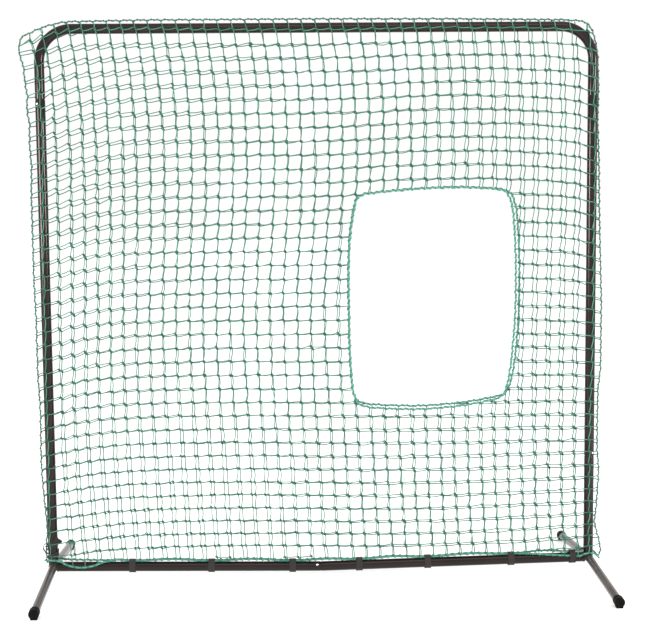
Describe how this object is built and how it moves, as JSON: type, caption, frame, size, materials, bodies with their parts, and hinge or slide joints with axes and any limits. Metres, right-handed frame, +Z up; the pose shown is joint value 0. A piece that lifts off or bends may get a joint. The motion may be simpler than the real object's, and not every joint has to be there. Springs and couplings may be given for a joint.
{
  "type": "pitching target net",
  "caption": "Free-standing square steel tube screen for pitching practice, with a double knotted net sleeve that has an off-centre pitching hole.",
  "frame": {"origin": "middle of the object's footprint, on the ground", "axes": "+Z up, +X to the right of someone facing the front, -Y towards that person, so the net lies in the XZ plane and the feet run along Y"},
  "size_m": [2.174, 1.0694, 2.144],
  "materials": {
    "frame_paint": "black powder coat, semi-gloss",
    "zinc_plate": "bright zinc plate",
    "spring_steel": "plain spring steel",
    "cap_rubber": "moulded black, matt",
    "net_twine": "green knotted twine",
    "rope": "green laid rope",
    "strap_webbing": "black hook-and-loop webbing"
  },
  "bodies": {
    "frame_and_net": {"top_tube_left": "frame_paint", "top_tube_right": "frame_paint", "post_left": "frame_paint", "post_right": "frame_paint", "foot_bar_left": "frame_paint", "foot_bar_right": "frame_paint", "base_upright_left": "frame_paint", "base_upright_right": "frame_paint", "bottom_rail_left": "frame_paint", "bottom_rail_right": "frame_paint", "foot_cap_left_front": "cap_rubber", "foot_cap_left_back": "cap_rubber", "foot_cap_right_front": "cap_rubber", "foot_cap_right_back": "cap_rubber", "button_spring_left_upper": "spring_steel", "button_spring_right_upper": "spring_steel", "button_spring_left_lower": "spring_steel", "button_spring_right_lower": "spring_steel", "button_spring_top_middle": "spring_steel", "button_spring_rail_middle": "spring_steel", "net_front_panel": "net_twine", "net_back_panel": "net_twine", "net_top_edge": "net_twine", "net_side_edge_left": "net_twine", "net_side_edge_right": "net_twine", "hole_rope_front": "rope", "hole_rope_back": "rope", "bottom_rope_front": "rope", "bottom_rope_back": "rope", "strap_rail_1": "strap_webbing", "strap_rail_2": "strap_webbing", "strap_rail_3": "strap_webbing", "strap_rail_4": "strap_webbing", "strap_rail_5": "strap_webbing", "strap_rail_6": "strap_webbing", "strap_rail_7": "strap_webbing", "strap_post_left": "strap_webbing"},
    "button_left_upper": {"snap_button_left_upper": "zinc_plate"},
    "button_right_upper": {"snap_button_right_upper": "zinc_plate"},
    "button_left_lower": {"snap_button_left_lower": "zinc_plate"},
    "button_right_lower": {"snap_button_right_lower": "zinc_plate"},
    "button_top_middle": {"snap_button_top_middle": "zinc_plate"},
    "button_rail_middle": {"snap_button_rail_middle": "zinc_plate"}
  },
  "joints": [
    {"name": "press_left_upper", "type": "slide", "parent": "frame_and_net", "child": "button_left_upper", "axis": [0.5, 0.866, 0], "range_m": [0, 0.005], "stiffness_N_per_m": 2500, "springref_m": -0.002},
    {"name": "press_right_upper", "type": "slide", "parent": "frame_and_net", "child": "button_right_upper", "axis": [-0.5, -0.866, 0], "range_m": [0, 0.005], "stiffness_N_per_m": 2500, "springref_m": -0.002},
    {"name": "press_left_lower", "type": "slide", "parent": "frame_and_net", "child": "button_left_lower", "axis": [0.5, -0.866, 0], "range_m": [0, 0.005], "stiffness_N_per_m": 2500, "springref_m": -0.002},
    {"name": "press_right_lower", "type": "slide", "parent": "frame_and_net", "child": "button_right_lower", "axis": [-0.5, 0.866, 0], "range_m": [0, 0.005], "stiffness_N_per_m": 2500, "springref_m": -0.002},
    {"name": "press_top_middle", "type": "slide", "parent": "frame_and_net", "child": "button_top_middle", "axis": [0, -0.866, -0.5], "range_m": [0, 0.005], "stiffness_N_per_m": 2500, "springref_m": -0.002},
    {"name": "press_rail_middle", "type": "slide", "parent": "frame_and_net", "child": "button_rail_middle", "axis": [-0.0087, 0.8661, -0.4999], "range_m": [0, 0.005], "stiffness_N_per_m": 2500, "springref_m": -0.002}
  ]
}
